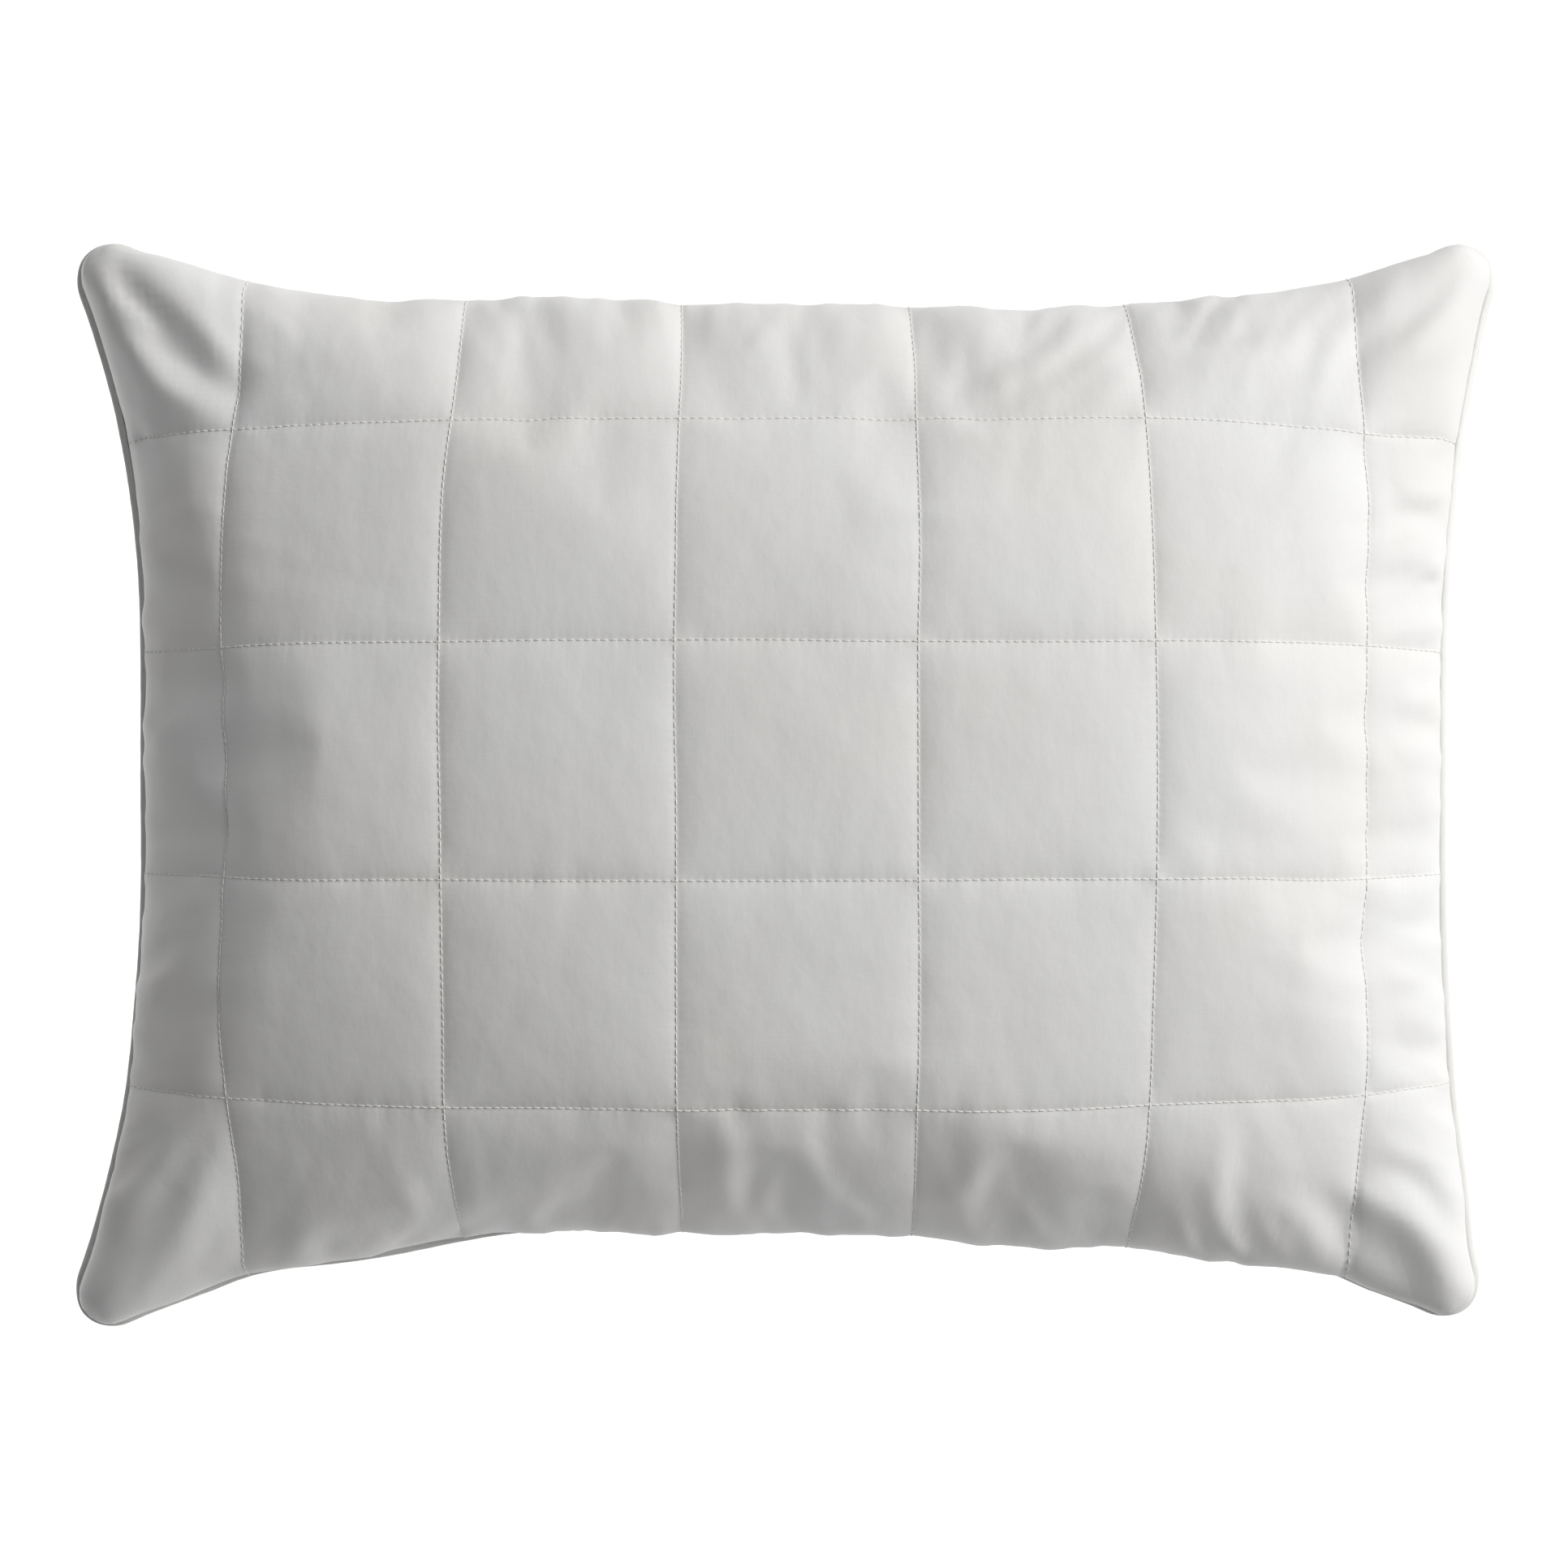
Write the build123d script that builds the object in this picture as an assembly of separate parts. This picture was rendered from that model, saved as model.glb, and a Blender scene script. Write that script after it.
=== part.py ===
from build123d import *
import os

# Bed pillow lying flat: two quilted panels, a corded piping in the seam between them and a loose fibre fill.
# Millimetres, +Z up, X along the long way. The origin is on the resting surface, under the pillow's middle.

# ---- driving dimensions: outline of the seam, seen from above
corner_x = 322.8            # half length to the sharp corner that each ear is rounded from
corner_y = 246.8            # half width to the same corner
waist_x = 293.4             # half length at the middle, where the short sides are pulled in
waist_y = 206.6             # half width at the middle, where the long sides are pulled in
ear_radius = 15.0           # rounding of each ear's tip

# ---- driving dimensions: thickness
seam_height = 80.0          # the seam's plane above the resting surface
crown_height = 104.0        # from the seam up to the top of the upper panel
belly_depth = 100.0         # from the seam down to where the belly would end if nothing pressed it flat
rim_margin = 3.0            # the crown reaches this far past the seam and is trimmed upright there
ear_margin = 6.0            # the same at the sharp corners
ear_fullness = 0.8          # how near to the corners the crown rises, from 0.5, thin ears, towards 1

# ---- driving dimensions: quilting
quilt_pitch = 107.0         # plan distance between neighbouring quilting lines, both ways
cross_line_count = 6        # lines that run the short way
long_line_count = 4         # lines that run the long way
furrow_width = 3.0          # clear width of the furrow that a line of stitches pulls into the flat underside
furrow_depth = 1.8

# ---- driving dimensions: layers, each with a gap to the next one
gap = 0.4
shell_thickness = 0.6       # woven cotton
wadding_thickness = 4.0     # polyester wadding
backing_thickness = 0.5     # non-woven scrim

# ---- driving dimensions: piping and seam
piping_radius = 2.0         # outside of the covered cord
piping_wall = 0.5           # the bias strip round the cord
piping_cord_radius = 1.2
piping_standoff = 2.3       # centre of the cord outside the shell's upright rim
flange_thickness = 1.0      # both plies of the bias strip
allowance_width = 12.0      # how far the seam allowances reach inwards
seam_clearance = 0.3        # between the plies in the seam
layer_start = 2.7           # wadding and backing end this far above and below the seam's plane
seam_thread_inset = 3.0
closing_thread_inset = 1.5
closing_length = 240.0      # opening in a short side that the fill went in through
thread_width = 0.6
thread_thickness = 0.4

# ---- depths under the outer surface, worked out from the layers
wadding_top = shell_thickness + gap
backing_top = wadding_top + wadding_thickness + gap
fill_top = backing_top + backing_thickness + gap

# ---- heights of the quilting threads over the outer surface: the long lines are sewn over the cross lines
cross_thread_standoff = gap
long_thread_standoff = cross_thread_standoff + thread_thickness + gap

# ---- heights in the seam, above or below its plane
allowance_start = flange_thickness / 2 + seam_clearance
allowance_end = allowance_start + shell_thickness
seam_thread_start = allowance_end + seam_clearance
seam_thread_end = seam_thread_start + thread_width

inner_pole_share = 14 / 16  # how much the three inner poles of a five-pole curve count for at its middle
reach = 2 * corner_x        # longer than anything that a cutting block has to span


def seam_arcs():
    """The seam seen from above: four arcs for the pulled-in sides and four small ones for the ears."""
    corners = [(-corner_x, -corner_y), (corner_x, -corner_y), (corner_x, corner_y), (-corner_x, corner_y)]
    waists = [(0, -waist_y), (waist_x, 0), (0, waist_y), (-waist_x, 0)]
    sides = []
    for index, waist in enumerate(waists):
        sides.append(ThreePointArc(corners[index], waist, corners[(index + 1) % 4]))
    sharp = Face(Wire(sides))
    return fillet(sharp.vertices(), ear_radius).edges()


def outline(inset):
    """Face inside the seam's outline, moved inwards by inset: each arc keeps its centre."""
    arcs = []
    for arc in seam_arcs():
        is_ear = arc.radius < 2 * ear_radius
        growth = -inset if is_ear else inset
        scale = (arc.radius + growth) / arc.radius
        centre = arc.arc_center
        arcs.append(ThreePointArc(*[centre + (arc @ place - centre) * scale for place in (0, 0.5, 1)]))
    return Face(Wire(arcs))


def column(inset, low, high):
    """Upright block inside the outline, between two heights."""
    return extrude(Pos(0, 0, low) * outline(inset), amount=high - low)


def ring(outer_inset, inner_inset, low, high):
    """Flat ring that follows the outline."""
    return column(outer_inset, low, high) - column(inner_inset, low, high)


def panel_face(depth, crown):
    """Bezier face from seam to seam, standing upright at the seam and flat at the middle."""
    spread = (-1, -ear_fullness, 0, ear_fullness, 1)
    doubled = (-1, -1, 0, 1, 1)
    ends = (0, 4)
    bow_beside = 2 * ear_fullness - 1
    bow_middle = -(1 + 4 * bow_beside) / 3
    bow = (1, bow_beside, bow_middle, bow_beside, 1)
    ear_x = corner_x + ear_margin - depth
    ear_y = corner_y + ear_margin - depth
    side_x = waist_x + rim_margin - depth
    side_y = waist_y + rim_margin - depth
    peak = crown / inner_pole_share ** 2
    poles = []
    for i in range(5):
        row = []
        for j in range(5):
            pulled_x = side_x + (ear_x - side_x) * bow[j]
            pulled_y = side_y + (ear_y - side_y) * bow[i]
            x = ear_x * spread[i] if j in ends else pulled_x * doubled[i]
            y = ear_y * spread[j] if i in ends else pulled_y * doubled[j]
            z = 0 if i in ends or j in ends else peak
            row.append(Vector(x, y, seam_height + z))
        poles.append(row)
    return Face.make_bezier_surface(poles)


def form(depth, floor):
    """The pillow's whole plain form, shrunk by depth on every side and pressed flat at the height floor."""
    lens = Solid(Shell([panel_face(depth, crown_height - depth), panel_face(depth, depth - belly_depth)]))
    return lens & column(depth, floor, reach)


def line_places(count):
    """Places of the quilting lines, evenly spaced about the middle."""
    return [(index - (count - 1) / 2) * quilt_pitch for index in range(count)]


def cross_blocks(width, height):
    """Blocks along the lines that run the short way."""
    return [Pos(x, 0, 0) * Box(width, reach, 2 * height) for x in line_places(cross_line_count)]


def long_blocks(width, height):
    """Blocks along the lines that run the long way."""
    return [Pos(0, y, 0) * Box(reach, width, 2 * height) for y in line_places(long_line_count)]


def layer_form(depth):
    """A layer's outer form, with the furrows that the quilting pulls into the flat underside."""
    width = furrow_width + 2 * depth
    height = furrow_depth + depth
    return form(depth, depth) - cross_blocks(width, height) - long_blocks(width, height)


def upper(distance):
    """Everything above the seam's plane, starting distance above it."""
    return Pos(0, 0, seam_height + distance) * Box(reach, reach, reach, align=(Align.CENTER, Align.CENTER, Align.MIN))


def lower(distance):
    """Everything below the seam's plane, starting distance below it."""
    return Pos(0, 0, seam_height - distance) * Box(reach, reach, reach, align=(Align.CENTER, Align.CENTER, Align.MAX))


def seam_ring(outer_inset, inner_inset, start, end, side):
    """Ring in the seam: side is 1 above the seam's plane and -1 below it."""
    heights = sorted((seam_height + side * start, seam_height + side * end))
    return ring(outer_inset, inner_inset, heights[0], heights[1])


def make_shells():
    """Woven outside of both panels, with the allowances that are turned into the seam."""
    skin = layer_form(0) - layer_form(shell_thickness)
    top = (skin & upper(allowance_start)) + seam_ring(0, allowance_width, allowance_start, allowance_end, 1)
    bottom = (skin & lower(allowance_start)) + seam_ring(0, allowance_width, allowance_start, allowance_end, -1)
    return top, bottom


def make_waddings():
    """Wadding under the shells, pinched where the furrows are."""
    inside = wadding_top + wadding_thickness
    layer = layer_form(wadding_top) - form(inside, inside)
    return layer & upper(layer_start), layer & lower(layer_start)


def make_backings():
    """Scrim that the quilting is sewn through to."""
    inside = backing_top + backing_thickness
    layer = form(backing_top, backing_top) - form(inside, inside)
    return layer & upper(layer_start), layer & lower(layer_start)


def make_fill():
    """Loose fibre, parted all round where the seam allowances reach into it."""
    slot = ring(-1, allowance_width + 1, seam_height - layer_start, seam_height + layer_start)
    return form(fill_top, fill_top) - slot


def make_quilting_threads(standoff, blocks):
    """Threads along the quilting lines, standoff outside the shells and in the furrows underneath."""
    outside = standoff + thread_thickness
    layer = form(-outside, furrow_depth - outside) - form(-standoff, furrow_depth - standoff)
    strands = [layer & block for block in blocks]
    top = Compound([solid for strand in strands for solid in (strand & upper(layer_start)).solids()])
    bottom = Compound([solid for strand in strands for solid in (strand & lower(layer_start)).solids()])
    return top, bottom


def piping_path():
    """Centre line of the piping's cord."""
    return Pos(0, 0, seam_height) * outline(-piping_standoff).outer_wire()


def tube(radius):
    """Round rod that follows the piping."""
    path = piping_path()
    section = Plane(origin=path @ 0, z_dir=path % 0) * Circle(radius)
    return sweep(section, path=path)


def make_piping_cover():
    """Bias strip: a sleeve round the cord and a flange of two plies that is sewn into the seam."""
    sleeve = tube(piping_radius) - tube(piping_radius - piping_wall)
    root = piping_standoff - piping_radius + piping_wall / 2
    flange = ring(-root, allowance_width, seam_height - flange_thickness / 2, seam_height + flange_thickness / 2)
    return sleeve + flange


def seam_strands(inset):
    """Needle thread above the allowances and bobbin thread below them."""
    strands = []
    for side in (1, -1):
        outer = inset - thread_width / 2
        strands.append(seam_ring(outer, outer + thread_width, seam_thread_start, seam_thread_end, side))
    return strands


def opening_block(length):
    """Block over the stretch of short side that was left open for filling."""
    return Pos(corner_x, 0, seam_height) * Box(corner_x, length, 4 * layer_start)


def make_perimeter_thread():
    """Seam thread round the pillow, except along the filling opening."""
    solids = []
    for strand in seam_strands(seam_thread_inset):
        solids.extend((strand - opening_block(closing_length)).solids())
    return Compound(solids)


def make_closing_thread():
    """Thread that closes the filling opening, nearer to the piping."""
    solids = []
    for strand in seam_strands(closing_thread_inset):
        solids.extend((strand & opening_block(closing_length)).solids())
    return Compound(solids)


def make_all():
    """Every piece of the pillow, by name."""
    pieces = {}
    pieces["top_shell_fabric"], pieces["bottom_shell_fabric"] = make_shells()
    pieces["top_wadding"], pieces["bottom_wadding"] = make_waddings()
    pieces["top_backing"], pieces["bottom_backing"] = make_backings()
    pieces["fibre_fill"] = make_fill()
    cross_pair = make_quilting_threads(cross_thread_standoff, cross_blocks(thread_width, reach))
    long_pair = make_quilting_threads(long_thread_standoff, long_blocks(thread_width, reach))
    pieces["top_quilting_thread_cross"], pieces["bottom_quilting_thread_cross"] = cross_pair
    pieces["top_quilting_thread_long"], pieces["bottom_quilting_thread_long"] = long_pair
    pieces["piping_cord"] = tube(piping_cord_radius)
    pieces["piping_cover"] = make_piping_cover()
    pieces["perimeter_seam_thread"] = make_perimeter_thread()
    pieces["closing_seam_thread"] = make_closing_thread()
    return pieces


os.makedirs("parts", exist_ok=True)
for node, piece in make_all().items():
    export_step(piece, f"parts/{node}.step")
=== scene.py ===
import math
from itertools import product

import bpy
import numpy as np
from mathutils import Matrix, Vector


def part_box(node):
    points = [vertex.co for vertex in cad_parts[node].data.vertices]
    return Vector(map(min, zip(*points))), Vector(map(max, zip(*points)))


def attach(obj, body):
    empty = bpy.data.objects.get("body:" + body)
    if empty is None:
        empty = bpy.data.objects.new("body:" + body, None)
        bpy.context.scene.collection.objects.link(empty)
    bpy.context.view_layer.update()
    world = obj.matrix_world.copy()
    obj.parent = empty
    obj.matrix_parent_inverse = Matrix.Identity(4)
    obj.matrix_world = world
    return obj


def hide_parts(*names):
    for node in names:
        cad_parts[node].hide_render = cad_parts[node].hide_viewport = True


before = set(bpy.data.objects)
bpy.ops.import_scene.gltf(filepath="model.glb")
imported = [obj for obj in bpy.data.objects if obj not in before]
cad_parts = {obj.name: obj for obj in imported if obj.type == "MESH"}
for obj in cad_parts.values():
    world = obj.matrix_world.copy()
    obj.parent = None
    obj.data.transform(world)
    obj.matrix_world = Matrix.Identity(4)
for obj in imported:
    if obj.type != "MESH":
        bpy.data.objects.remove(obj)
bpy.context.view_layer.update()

# Lengths are in metres, except in FOLDS. Cloth coordinates u and v run from the middle of a panel as cut.

# ---- sizes read from the frame
shell_low, shell_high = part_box("top_shell_fabric")
piping_low, piping_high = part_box("piping_cover")
cord_low, cord_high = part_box("piping_cord")
SEAM_X = shell_high[0]
SEAM_Y = shell_high[1]
SEAM_Z = (piping_low[2] + piping_high[2]) / 2
CROWN = shell_high[2] - SEAM_Z
FLOOR_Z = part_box("bottom_shell_fabric")[0][2]
PIPING_RADIUS = (piping_high[2] - piping_low[2]) / 2
PIPING_STANDOFF = piping_high[0] - SEAM_X - PIPING_RADIUS
CORD_RADIUS = (cord_high[2] - cord_low[2]) / 2

# ---- how the cloth was cut
CUT_X = 0.660 / 2  # half the panel's length between seams
CUT_Y = 0.508 / 2  # half its width
CUT_CORNER = 0.019  # radius of its corners
SHELL_THICKNESS = 0.0005
LAYER_INSET = 0.008  # how far wadding and scrim stay short of the seam
FIBRE_INSET = 0.014  # how far the loose fibre does

# ---- quilting
PITCH = 0.107
CROSS_PLACES = (np.arange(6) - 2.5) * PITCH + 0.006  # the sewn grid sits a little off the panel's middle
LONG_PLACES = (np.arange(4) - 1.5) * PITCH + 0.0105
WOBBLE = 0.0009  # how far a sewn line strays from straight
LINE_THICKNESS = 0.0016  # panel thickness where the stitches pinch it
PUFF = 0.0031  # how far a cell in the middle stands over its stitch lines
SIDE_PUFF = 2.0  # how many times that much more it stands over them at the seam
SIDE_PUFF_REACH = 0.10
SHOULDERS = ((0.45, 0.0045), (0.55, 0.013))  # share and width of a cell's tight and its round shoulder
SEAM_SHOULDER = 0.016  # width of the shoulder at the seam
LEAST_THICKNESS = 0.0004  # thickness that the panel keeps even in a fold
SEAM_GAP = 0.00055  # half the thickness of the piping's flange
RELIEF_SEEDS = {1: 10, -1: 60}
GATHER_HEIGHT = 0.0030  # height of the folds that run in from the seam
RUMPLE_HEIGHT = 0.0021
FOLD_SCALE = 1.4  # how much deeper the folds are than FOLDS says

# ---- stitches
STITCH_PITCH = 0.0038
STITCH_LENGTH = 0.0032
THREAD_RADIUS = 0.00027
OPENING = 0.240  # length of the closed opening in the right side

# ---- how the filled pillow's seam is drawn in between the ears
EAR = 0.016  # end of each side that isn't drawn in
# Each side's hollow: depth, lowest point, flatness, and its strays. Each stray has a place along the side,
# a reach and a depth inwards.
SIDES = {
    "back": (0.0290, 0.02, 5.0, [
        (-0.115, 0.05, -0.0040), (0.105, 0.03, 0.0025), (0.190, 0.03, -0.0010), (0.260, 0.03, 0.0015)]),
    "front": (0.0440, -0.02, 2.8, [
        (-0.190, 0.05, -0.0046), (-0.255, 0.03, 0.0028), (0.105, 0.05, -0.0044), (0.255, 0.035, 0.0062)]),
    "right": (0.0214, 0.0, 2.8, [(-0.160, 0.03, 0.0010)]),
    "left": (0.0298, 0.0, 3.2, [(-0.110, 0.04, -0.0015), (0.185, 0.03, 0.0012)]),
}
GATHER_X = 0.22  # how strongly the seam is gathered towards the middle of each side
GATHER_Y = 0.24
GATHER_END = 0.94  # share of the side at which the gathering stops
SIDEWAYS = 0.25  # share of the quilting's relief that shows in the outline

# ---- the ears, by the signs of their x and y
EAR_SHIFTS = {  # how far each hangs out of the plain plan
    (-1, 1): (0.0, 0.0), (1, 1): (0.0020, 0.0),
    (-1, -1): (0.0005, 0.0010), (1, -1): (-0.0055, -0.0030),
}
EAR_REACH = 0.05  # how much of the ear that shift takes along
EAR_ROUND = 0.0055  # how far a tip is filled out round
TIP_REACH = 0.013
EAR_DROOP = 0.020  # how far the ears hang below the seam's plane

# ---- how the cloth stands out over the seam
BULGE_DEPTH = 0.014  # cloth distance from the seam at which a side bulges furthest
BULGE_REACH = 0.02  # how far round a corner a side's bulge still counts
BULGE_BACK = 0.0080
BULGE_FRONT = 0.0075
BULGE_LEFT = 0.0034
BULGE_RIGHT = 0.0026
BULGE_SEED = 95
SEAM_WAVE = 0.0018  # how far the seam waves up and down
BELLY_KNEE = 0.007  # how softly the belly turns up from the floor
BELLY_PRESS = 0.001  # how much thinner the panel is pressed under the belly
FLOOR_GAP = 0.0004  # how far the cloth stays above the floor
FLOOR_KNEE = 0.0006

# ---- simulation
SIM_STEP = 0.0055
SIM_FRAMES = 42
SEAM_FRAMES = 28  # frames in which the seam is drawn in
START_LIFT = 0.006  # how far the flat panels start apart, and how uneven they are
START_NOISE = 0.0012
CLOTH_SETTINGS = {
    "quality": 5,
    "mass": 0.2,
    "air_damping": 3.0,
    "tension_stiffness": 30.0,
    "compression_stiffness": 30.0,
    "shear_stiffness": 5.0,
    "bending_stiffness": 10.0,
    "vertex_group_mass": "seam",
    "use_pressure": True,
    "uniform_pressure_force": 6.0,
    "use_pressure_volume": True,
    "target_volume": 0.030,
}
DOME_HEIGHT = 0.098  # the plain dome that the simulated cloth is compared with
DOME_FLATNESS_X = 3.0
DOME_FLATNESS_Y = 2.2
DOME_EDGE = 0.55
CALM_REACH = 8  # grid steps over which wrinkles are told apart from the broad shape
WRINKLE_SHARE = 0.30  # how much of the wrinkles stays
BROAD_SHARE = 0.68  # how much of the broad difference from the dome stays
EAR_SHARE = 0.75  # how far the ears take the dome's form

# ---- stage
CAMERA_DISTANCE = 2.2
VIEW_WIDTH = 0.712
FLOOR_REACH = 60.0


# ---- small numeric helpers
def value_noise(x, y, size, seed):
    """Smooth noise from -1 to 1 with features about size across."""
    lattice = np.random.default_rng(seed).uniform(-1, 1, (128, 128))
    gx = x / size + 57.3
    gy = y / size + 41.7
    ix = np.floor(gx).astype(int)
    iy = np.floor(gy).astype(int)
    fx, fy = [t * t * t * (t * (t * 6 - 15) + 10) for t in (gx - ix, gy - iy)]

    def across(row):
        return lattice[ix % 128, row % 128] * (1 - fx) + lattice[(ix + 1) % 128, row % 128] * fx

    return across(iy) * (1 - fy) + across(iy + 1) * fy


def line_noise(along, size, seed):
    """Smooth noise along a line."""
    return value_noise(along, along * 0, size, seed)


def bell(distance, reach):
    """1 at distance 0, sinking smoothly to nothing past reach."""
    return np.exp(-((distance / reach) ** 2))


def unit(vectors):
    """Vectors at length 1."""
    return vectors / np.maximum(np.linalg.norm(vectors, axis=-1, keepdims=True), 1e-12)


def soft_floor(z, limit, knee):
    """z kept above limit, with a rounded knee."""
    return limit + knee * np.logaddexp(0, (z - limit) / knee)


def blurred(values, reach, axis):
    """Values averaged along one axis of a grid, carried on past its ends by turning them over."""
    offsets = np.arange(-3 * reach, 3 * reach + 1)
    weights = np.exp(-0.5 * (offsets / reach) ** 2)
    weights /= weights.sum()
    widths = [(0, 0)] * values.ndim
    widths[axis] = (3 * reach, 3 * reach)
    wide = np.pad(values, widths, mode="reflect", reflect_type="odd")
    total = np.zeros(values.shape)
    for index, weight in enumerate(weights):
        total += weight * np.take(wide, np.arange(index, index + values.shape[axis]), axis)
    return total


def cloth_grid(step, inset=0.0):
    """Evenly spaced cloth coordinates of a panel, less an inset all round."""
    axes = []
    for reach in (CUT_X, CUT_Y):
        count = int(round(2 * (reach - inset) / step)) + 1
        axes.append(np.linspace(inset - reach, reach - inset, count))
    return np.meshgrid(*axes, indexing="ij")


def to_seam(u, v):
    """Distance in the cloth to the nearest side."""
    return np.minimum(CUT_X - np.abs(u), CUT_Y - np.abs(v))


def long_side_share(u, v):
    """1 beside the long sides, 0 beside the short ones, changing softly between them."""
    nearer = (CUT_X - np.abs(u)) - (CUT_Y - np.abs(v))
    return 0.5 + 0.5 * np.clip(nearer / 0.05, -1, 1)


def wobble(index, along, seed):
    """How far a sewn line strays from straight."""
    return WOBBLE * value_noise(along, along * 0 + 0.37 * index, 0.07, seed)


# ---- the filled shape of the two panels
def cut_outline(u, v):
    """Cloth coordinates of grid coordinates, with the panel's corners rounded."""
    p = np.clip((np.abs(u) - (CUT_X - CUT_CORNER)) / CUT_CORNER, 0, None)
    q = np.clip((np.abs(v) - (CUT_Y - CUT_CORNER)) / CUT_CORNER, 0, None)
    corner = (p > 0) & (q > 0)
    far = np.hypot(p, q)
    far[far == 0] = 1
    shrink = np.where(corner, np.maximum(p, q) / far, 1.0)
    x = np.where(corner, np.sign(u) * (CUT_X - CUT_CORNER + p * shrink * CUT_CORNER), u)
    y = np.where(corner, np.sign(v) * (CUT_Y - CUT_CORNER + q * shrink * CUT_CORNER), v)
    return x, y


def hollow(side, place, reach):
    """How far a side is drawn in at places along it."""
    depth, low, flatness, strays = SIDES[side]
    span = np.where(place > low, reach - low, reach + low)
    arch = 1 - np.clip(np.abs(place - low) / span, 0, 1) ** flatness
    return depth * arch + sum(stray * bell(place - middle, width) for middle, width, stray in strays)


def drawn_in(x, y):
    """Plan of the filled pillow for a place on the cut cloth: the sides drawn in between the ears."""
    x = x * SEAM_X / CUT_X
    y = y * SEAM_Y / CUT_Y
    share_x = (np.abs(x) / SEAM_X) ** 2
    share_y = (np.abs(y) / SEAM_Y) ** 2
    back, front = [hollow(side, x, SEAM_X - EAR) for side in ("back", "front")]
    right, left = [hollow(side, y, SEAM_Y - EAR) for side in ("right", "left")]
    moved_x = x - np.where(x > 0, right, -left) * share_x
    moved_y = y - np.where(y > 0, back, -front) * share_y
    return moved_x, moved_y


def rise(share, flatness):
    """An arch across the panel, 1 in the middle and 0 at the sides."""
    return np.maximum(1 - np.abs(share) ** flatness, 1e-6) ** DOME_EDGE


def domed_panels():
    """Both panels as plain domes: the form that the simulated wrinkles are measured against."""
    u, v = cloth_grid(SIM_STEP)
    x, y = drawn_in(*cut_outline(u, v))
    rise_u = rise(u / CUT_X, DOME_FLATNESS_X)
    rise_v = rise(v / CUT_Y, DOME_FLATNESS_Y)
    z = DOME_HEIGHT / np.sqrt(rise_u ** -2 + rise_v ** -2 - 1)
    z[[0, -1], :] = 0
    z[:, [0, -1]] = 0
    return np.stack([x, y, z], -1), np.stack([x, y, -z], -1)


def flat_pouch():
    """Both panels laid flat, as one mesh with a shared rim, and each panel's vertex numbers."""
    u, v = cloth_grid(SIM_STEP)
    x, y = cut_outline(u, v)
    edge = to_seam(u, v)
    lift = START_LIFT * np.clip(edge / 0.05, 0, 1)
    fade = START_NOISE * np.clip(edge / 0.02, 0, 1)
    z_top = lift + fade * value_noise(x, y, 0.05, 3)
    z_bottom = -lift + fade * value_noise(x, y, 0.05, 4)
    inner = np.zeros(u.shape, bool)
    inner[1:-1, 1:-1] = True
    top_ids = np.arange(u.size).reshape(u.shape)
    bottom_ids = top_ids.copy()
    bottom_ids[inner] = u.size + np.arange(inner.sum())
    top_points = np.stack([x, y, z_top], -1).reshape(-1, 3)
    bottom_points = np.stack([x, y, z_bottom], -1)[inner]
    points = np.concatenate([top_points, bottom_points])
    faces = np.concatenate([grid_quads(top_ids), grid_quads(bottom_ids)[:, ::-1]])
    pouch = mesh_object("pouch", points, faces)

    rim = np.where(~inner.ravel())[0]
    drawn_x, drawn_y = drawn_in(x, y)
    target = points.copy()
    target[rim] = np.stack([drawn_x, drawn_y, x * 0], -1).reshape(-1, 3)[rim]
    pouch.shape_key_add(name="flat")
    drawn = pouch.shape_key_add(name="drawn")
    drawn.data.foreach_set("co", target.ravel())
    for frame_number, value in ((1, 0.0), (SEAM_FRAMES, 1.0)):
        drawn.value = value
        drawn.keyframe_insert("value", frame=frame_number)
    seam = pouch.vertex_groups.new(name="seam")
    seam.add(rim.tolist(), 1.0, "REPLACE")
    return pouch, top_ids, bottom_ids


def simulated_panels():
    """Both panels after the sewn pouch is blown up while its seam is drawn in to the pillow's outline."""
    pouch, top_ids, bottom_ids = flat_pouch()
    cloth = pouch.modifiers.new("cloth", "CLOTH")
    cloth.point_cache.frame_start = 1
    cloth.point_cache.frame_end = SIM_FRAMES
    cloth.collision_settings.use_collision = False
    cloth.collision_settings.use_self_collision = False
    for name, value in CLOTH_SETTINGS.items():
        setattr(cloth.settings, name, value)
    cloth.settings.effector_weights.gravity = 0.0
    for step in range(1, SIM_FRAMES + 1):
        bpy.context.scene.frame_set(step)
    evaluated = pouch.evaluated_get(bpy.context.evaluated_depsgraph_get())
    settled = evaluated.to_mesh()
    result = np.empty(len(settled.vertices) * 3)
    settled.vertices.foreach_get("co", result)
    result = result.reshape(-1, 3)
    evaluated.to_mesh_clear()
    bpy.context.scene.frame_set(1)
    bpy.data.objects.remove(pouch)
    for action in list(bpy.data.actions):
        bpy.data.actions.remove(action)
    return result[top_ids], result[bottom_ids]


def calmed(points, plain):
    """Simulated points brought nearer to the plain dome, most of all in short wrinkles and at the ears."""
    u, v = cloth_grid(SIM_STEP)
    spread = points - plain
    share = long_side_share(u, v)[..., None]
    broad = share * blurred(spread, CALM_REACH, 0) + (1 - share) * blurred(spread, CALM_REACH, 1)
    towards_ear = np.clip((np.abs(u * v) / (CUT_X * CUT_Y) - 0.45) / 0.40, 0, 1)[..., None]
    kept = 1 - EAR_SHARE * towards_ear ** 2 * (3 - 2 * towards_ear)
    return plain + kept * (BROAD_SHARE * broad + WRINKLE_SHARE * (spread - broad))


def gathered(share, strength):
    """Place along a side, from -1 to 1, with the cloth gathered towards the middle."""
    return share - strength * share ** 3 * np.clip(1 - (share / GATHER_END) ** 2, 0, None)


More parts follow.
